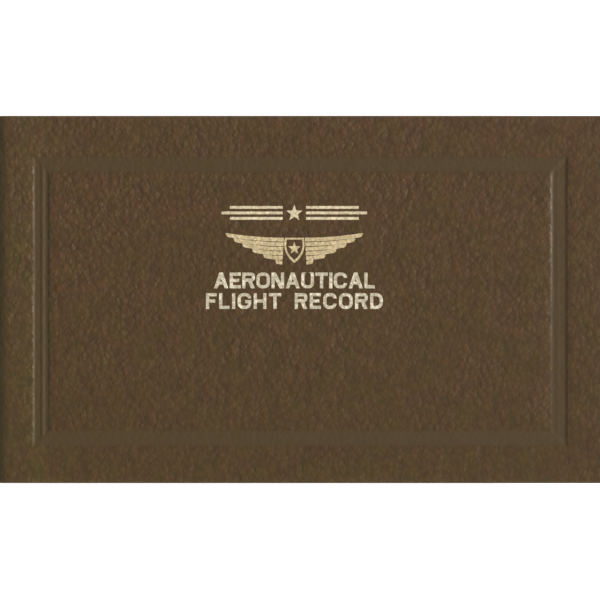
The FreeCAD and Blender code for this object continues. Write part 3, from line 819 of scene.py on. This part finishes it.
def shaded_grain_colour(graph, shaded_hue, height):
    """The colour with painted shade in the creases and painted light on the tops of the grain,
    mottled, and strewn with a few pale specks of painted highlight.
    """
    # Painted shade in the grain's creases and painted light on its tops.
    crease_shade_and_crest_light = graph.between(height, 1.0, 2.1, 0.84, 1.14)
    mottle = graph.between(graph.noise(11 * MM, 3.0, 0.65), 0.3, 0.7, 0.88, 1.12)
    grain = graph.mix(1.0, shaded_hue, graph.product(crease_shade_and_crest_light, mottle), "MULTIPLY")
    # Painted highlights: a few pale specks standing in for glints on the grain.
    glint_cells = graph.cells(1.1 * MM, place=graph.warped(2.0 * MM, 1.2 * MM))
    painted_glint_flecks = graph.between(glint_cells, 0.18, 0.05)
    thin_out = graph.between(graph.noise(4 * MM, 2.0), 0.5, 0.66)
    return graph.mix(graph.product(painted_glint_flecks, thin_out, 0.16), grain, rgb(0.19, 0.135, 0.080))


def shaded_and_scuffed_colour(graph, colour, pressed, worn):
    """The colour with painted shade, darker and greener where the leather is pressed in the frame's
    groove and on the joint's shoulder, and paler in the scuffs of worn edges.
    """
    # Painted shade: darker and greener where the leather is pressed, in the frame's groove and on the
    # joint's shoulder.
    ironed_and_shaded = graph.mix(graph.product(pressed, 0.8), colour, rgb(0.0590, 0.0345, 0.0066))
    scuff = graph.between(graph.noise(1.3 * MM, 4.0, 0.7), 0.42, 0.62)
    return graph.mix(graph.product(worn, scuff, 0.15), ironed_and_shaded, rgb(0.16, 0.105, 0.055))


def leather_material():
    """Dark brown pebbled leather, flatter where pressed, and paler along worn edges."""
    graph = Graph("brown_leather")
    height = grain_height(graph)
    pressed = graph.attribute("pressed")
    worn = graph.attribute("worn")
    colour = shaded_grain_colour(graph, hide_colour_and_shade(graph), height)
    colour = shaded_and_scuffed_colour(graph, colour, pressed, worn)
    rough = graph.between(graph.noise(5 * MM, 3.0), 0.3, 0.7, 0.40, 0.54)
    for part, share in ((pressed, 0.14), (worn, 0.25)):
        rough = graph.maths("ADD", rough, graph.product(part, share))
    unpressed = graph.maths("SUBTRACT", 1.0, graph.product(pressed, 0.65))
    unworn = graph.between(worn, 0.3, 1.0, 1.0, 0.4)
    depth = graph.product(unpressed, grain_crispness(graph), unworn)
    normal = graph.bump(height, 0.35 * MM, depth)
    normal = graph.bump(graph.noise(0.14 * MM, 2.0), 0.008 * MM, 0.5, normal)
    return graph.finish(Base_Color=colour, Roughness=rough, Normal=normal,
                        Specular_IOR_Level=0.44)


def foil_material(name, pale, deep, rubbing):
    """Gold foil, which takes the leather's grain and is rubbed away in its creases."""
    graph = Graph(name)
    height = grain_height(graph)
    patch = graph.between(graph.noise(1.1 * MM, 3.0), 0.36, 0.64)
    gold = graph.mix(patch, deep, pale)
    rubbed = graph.between(graph.noise(0.6 * MM, 4.0, 0.7), 0.50, 0.64)
    creased = graph.between(height, 1.55, 1.30)
    bare = graph.product(graph.maths("MAXIMUM", rubbed, creased), rubbing)
    colour = graph.mix(bare, gold, rgb(0.17, 0.12, 0.06))
    normal = graph.bump(height, 0.14 * MM, 0.8)
    rough = graph.between(graph.noise(0.8 * MM, 2.0), 0.3, 0.7, 0.32, 0.50)
    return graph.finish(Base_Color=colour, Roughness=rough, Metallic=0.1, Normal=normal,
                        Specular_IOR_Level=0.8)


def paper_colour(graph, pale, dark, size):
    """Paper: a pale stock with faint clouds of this size."""
    clouds = graph.between(graph.noise(size, 4.0, 0.6), 0.3, 0.7)
    return graph.mix(clouds, dark, pale)


def table_edges():
    """A page's printed table: its left, right, bottom and top, and its header's foot."""
    low, size = span("signature_07")
    top = low.y + size.y - 12 * MM
    return low.x + 14 * MM, low.x + size.x - 7 * MM, low.y + 9 * MM, top, top - 17 * MM


def ruled_lines(graph, x, y, row_place):
    """Where a page has ink: the table's rows, its columns and its thicker frame."""
    left, right, bottom, top, header_foot = table_edges()
    within_x = graph.inside(x, left, right)
    within_y = graph.inside(y, bottom, top)
    from_row = graph.maths("ABSOLUTE", graph.maths("SUBTRACT", row_place,
                                                   graph.maths("ROUND", row_place)))
    row_pitch = (header_foot - bottom) / LEDGER_ROWS
    row_line = graph.maths("LESS_THAN", from_row, 0.11 * MM / row_pitch)
    ruled = [graph.product(row_line, graph.inside(y, bottom - MM, header_foot + MM), within_x)]
    column = left
    for width in LEDGER_COLUMNS[:-1]:
        column += width * (right - left) / sum(LEDGER_COLUMNS)
        ruled.append(graph.product(graph.line_at(x, column, 0.12 * MM), within_y))
    for place in (left, right):
        ruled.append(graph.product(graph.line_at(x, place, 0.3 * MM), within_y))
    for place in (bottom, top, header_foot):
        ruled.append(graph.product(graph.line_at(y, place, 0.3 * MM), within_x))
    lines = ruled[0]
    for line in ruled[1:]:
        lines = graph.maths("MAXIMUM", lines, line)
    return lines


def tinted_rows(graph, x, y, row_place):
    """Where a page is tinted: fully in the table's header, and faintly in every second row."""
    left, right, bottom, top, header_foot = table_edges()
    second_row = graph.maths("GREATER_THAN", graph.maths("MODULO", row_place, 2.0), 1.0)
    rows = graph.product(second_row, graph.inside(y, bottom, header_foot), 0.35)
    header = graph.inside(y, header_foot, top)
    return graph.product(graph.inside(x, left, right), graph.maths("MAXIMUM", rows, header))


def page_material():
    """Ledger pages: pale green-white stock with printed rules, and leaf edges at the sides."""
    graph = Graph("page_paper")
    x, y, _ = graph.parts(graph.place)
    upward = graph.maths("ABSOLUTE", graph.parts(graph.facing)[2])
    on_face = graph.maths("GREATER_THAN", upward, 0.9)
    _, _, bottom, _, header_foot = table_edges()
    row_pitch = (header_foot - bottom) / LEDGER_ROWS
    row_place = graph.maths("DIVIDE", graph.maths("SUBTRACT", y, bottom), row_pitch)
    stock = paper_colour(graph, rgb(0.67, 0.67, 0.57), rgb(0.61, 0.61, 0.51), 9 * MM)
    tint = graph.product(tinted_rows(graph, x, y, row_place), on_face, 0.55)
    colour = graph.mix(tint, stock, rgb(0.40, 0.56, 0.40))
    ink = graph.product(ruled_lines(graph, x, y, row_place), on_face, 0.75)
    colour = graph.mix(ink, colour, rgb(0.06, 0.18, 0.11))
    leaf_edges = graph.noise(0.5 * MM, 3.0, 0.6, graph.stretched((0.15, 0.15, 1.0)))
    edge_share = graph.product(graph.maths("SUBTRACT", 1.0, on_face),
                               graph.between(leaf_edges, 0.3, 0.7, 0.30, 0.95))
    colour = graph.mix(edge_share, colour, rgb(0.40, 0.37, 0.28))
    normal = graph.bump(graph.noise(0.25 * MM, 4.0), 0.012 * MM, 0.6)
    return graph.finish(Base_Color=colour, Roughness=0.82, Normal=normal, Specular_IOR_Level=0.2)


def endpaper_material():
    """Cream laid endpaper with faint lines and fibres."""
    graph = Graph("cream_endpaper")
    stock = paper_colour(graph, rgb(0.64, 0.57, 0.43), rgb(0.57, 0.50, 0.36), 14 * MM)
    strands = graph.noise(0.9 * MM, 5.0, 0.7, graph.stretched((1.0, 0.2, 1.0)))
    fibres = graph.between(strands, 0.60, 0.70)
    colour = graph.mix(graph.product(fibres, 0.25), stock, rgb(0.38, 0.31, 0.20))
    laid = graph.add("ShaderNodeTexWave", {"Vector": graph.place, "Scale": 1 / (5 * MM),
                                           "Distortion": 0.6})
    height = graph.maths("ADD", graph.product(laid.outputs["Fac"], 0.4),
                         graph.noise(0.3 * MM, 4.0))
    normal = graph.bump(height, 0.015 * MM, 0.7)
    return graph.finish(Base_Color=colour, Roughness=0.85, Normal=normal, Specular_IOR_Level=0.2)


def board_material(name, pale, dark):
    """Pressed board: speckled fibres."""
    graph = Graph(name)
    stock = paper_colour(graph, pale, dark, 2.5 * MM)
    specks = graph.between(graph.cells(0.9 * MM), 0.22, 0.08)
    colour = graph.mix(graph.product(specks, 0.4), stock, dark)
    normal = graph.bump(graph.noise(0.4 * MM, 4.0), 0.03 * MM, 0.8)
    return graph.finish(Base_Color=colour, Roughness=0.9, Normal=normal, Specular_IOR_Level=0.2)


def weave_material(name, pale, dark, pitch):
    """Open plain-woven cloth: two sets of threads across each other."""
    graph = Graph(name)
    x, y, z = graph.parts(graph.warped(6 * MM, 0.3 * MM))
    threads = []
    for across in (graph.maths("ADD", x, z), y):
        wave = graph.maths("SINE", graph.product(across, math.pi / pitch))
        threads.append(graph.maths("ABSOLUTE", wave))
    height = graph.maths("MAXIMUM", *threads)
    colour = graph.mix(graph.between(height, 0.35, 0.95), dark, pale)
    normal = graph.bump(height, 0.08 * MM, 0.9)
    return graph.finish(Base_Color=colour, Roughness=0.92, Normal=normal, Specular_IOR_Level=0.1)


def lining_paper_material():
    """Brown kraft paper with a cloudy tone."""
    graph = Graph("kraft_lining")
    stock = paper_colour(graph, rgb(0.62, 0.55, 0.40), rgb(0.50, 0.42, 0.28), 3 * MM)
    normal = graph.bump(graph.noise(0.5 * MM, 4.0), 0.02 * MM, 0.8)
    return graph.finish(Base_Color=stock, Roughness=0.85, Normal=normal, Specular_IOR_Level=0.2)


def thread_material(name, pale, dark, striped):
    """Wound thread with fine fibres, in two colours where striped."""
    graph = Graph(name)
    fibres = graph.noise(0.12 * MM, 3.0, 0.6)
    share = graph.attribute("stripe") if striped else graph.between(fibres, 0.3, 0.7)
    colour = graph.mix(share, pale, dark)
    colour = graph.mix(graph.between(fibres, 0.3, 0.7, 0.0, 0.25), colour, rgb(0.12, 0.08, 0.04))
    normal = graph.bump(fibres, 0.03 * MM, 0.7)
    return graph.finish(Base_Color=colour, Roughness=0.6, Normal=normal, Sheen_Weight=0.3)


LEATHER = leather_material()
RULE_FOIL = foil_material("pale_gold_foil", rgb(0.95, 0.85, 0.59), rgb(0.60, 0.48, 0.27), 0.25)
WINGS_FOIL = foil_material("gold_foil", rgb(0.85, 0.70, 0.42), rgb(0.52, 0.38, 0.17), 0.30)
TITLE_FOIL = foil_material("silvery_gold_foil", rgb(1.0, 0.93, 0.72), rgb(0.58, 0.49, 0.32), 0.45)
PAGE_PAPER = page_material()
ENDPAPER = endpaper_material()
MILLBOARD = board_material("grey_millboard", rgb(0.24, 0.20, 0.15), rgb(0.13, 0.10, 0.07))
INFILL_CARD = board_material("pale_card", rgb(0.52, 0.47, 0.37), rgb(0.36, 0.31, 0.22))
MULL = weave_material("open_mull", rgb(0.74, 0.70, 0.58), rgb(0.36, 0.31, 0.22), 0.9 * MM)
LINING_PAPER = lining_paper_material()
END_BAND = thread_material("wound_silk", rgb(0.66, 0.55, 0.32), rgb(0.16, 0.07, 0.04), True)
THREAD = thread_material("linen_thread", rgb(0.74, 0.69, 0.56), rgb(0.60, 0.54, 0.40), False)


def finish_cad_nodes():
    """Better materials for the CAD nodes whose own shape is right."""
    finishes = {
        "front_board": MILLBOARD, "back_board": MILLBOARD, "spine_strip": MILLBOARD,
        "front_infill": INFILL_CARD, "back_infill": INFILL_CARD,
        "front_mull_wing": MULL, "back_mull_wing": MULL,
        "front_pastedown": ENDPAPER, "back_pastedown": ENDPAPER,
        "front_flyleaf": ENDPAPER, "back_flyleaf": ENDPAPER,
        "rule_foil": RULE_FOIL, "wings_foil": WINGS_FOIL, "title_foil": TITLE_FOIL,
    }
    for node, material in finishes.items():
        data = frame["nodes"][node].data
        data.materials.clear()
        data.materials.append(material)


# ---------------------------------------------------------------- floor, light and camera

def make_floor():
    """A plain pale floor, which glows a little so that it looks nearly white."""
    reach = 4.0
    glow = 0.45
    level = CAD_LOW.z - 0.2 * MM
    corners = [(-reach, -reach, level), (reach, -reach, level), (reach, reach, level),
               (-reach, reach, level)]
    floor = mesh_object("floor", corners, [(0, 1, 2, 3)])
    graph = Graph("pale_floor")
    tone = graph.between(graph.noise(60 * MM, 3.0), 0.3, 0.7)
    colour = graph.mix(tone, rgb(0.90, 0.90, 0.90), rgb(0.93, 0.93, 0.93))
    finish = graph.finish(Base_Color=colour, Roughness=0.9, Specular_IOR_Level=0.1,
                          Emission_Color=rgb(1.0, 1.0, 1.0), Emission_Strength=glow)
    floor.data.materials.append(finish)


def make_light():
    """Soft studio light: a low key light from the fore-edge and an even, pale surround."""
    surround = 0.47
    world = bpy.data.worlds.new("studio")
    world.use_nodes = True
    background = world.node_tree.nodes["Background"]
    background.inputs["Color"].default_value = rgb(1.0, 1.0, 1.0)
    background.inputs["Strength"].default_value = surround
    bpy.context.scene.world = world
    distance = 2.0
    elevation = math.radians(26)
    data = bpy.data.lights.new("key", "SUN")
    data.energy = 4.6
    data.angle = math.radians(14)
    key = bpy.data.objects.new("key", data)
    key.location = (distance, 0.0, distance * math.tan(elevation))
    key.rotation_euler = (-key.location).to_track_quat("-Z", "Y").to_euler()
    bpy.context.scene.collection.objects.link(key)


def make_camera():
    """A long lens straight above the front cover, just inside its joint and fore-edge."""
    joint_trim = 1.5 * MM
    fore_edge_trim = 1.65 * MM
    below_middle = 0.23 * MM
    data = bpy.data.cameras.new("above")
    data.lens = 200.0
    data.sensor_width = 36.0
    data.clip_end = 20.0
    left = FRONT_LOW.x + joint_trim
    right = FRONT_LOW.x + FRONT_SIZE.x - fore_edge_trim
    distance = (right - left) * data.lens / data.sensor_width
    camera = bpy.data.objects.new("above", data)
    middle_y = FRONT_LOW.y + FRONT_SIZE.y / 2 - below_middle
    camera.location = ((left + right) / 2, middle_y, COVER_TOP + distance)
    bpy.context.scene.collection.objects.link(camera)
    bpy.context.scene.camera = camera
    bpy.context.scene.view_settings.view_transform = "Standard"


# ---------------------------------------------------------------- the scene

make_camera()
make_floor()
make_light()
make_cover_hides()
make_spine_hide()
make_joint_hides()
make_sections()
hinge_sheet("mull_lining", "spine_mull", MULL)
hinge_sheet("paper_lining", "spine_lining_paper", LINING_PAPER)
end_band("head_end_band", "headband")
end_band("tail_end_band", "tailband")
make_stitches()
finish_cad_nodes()
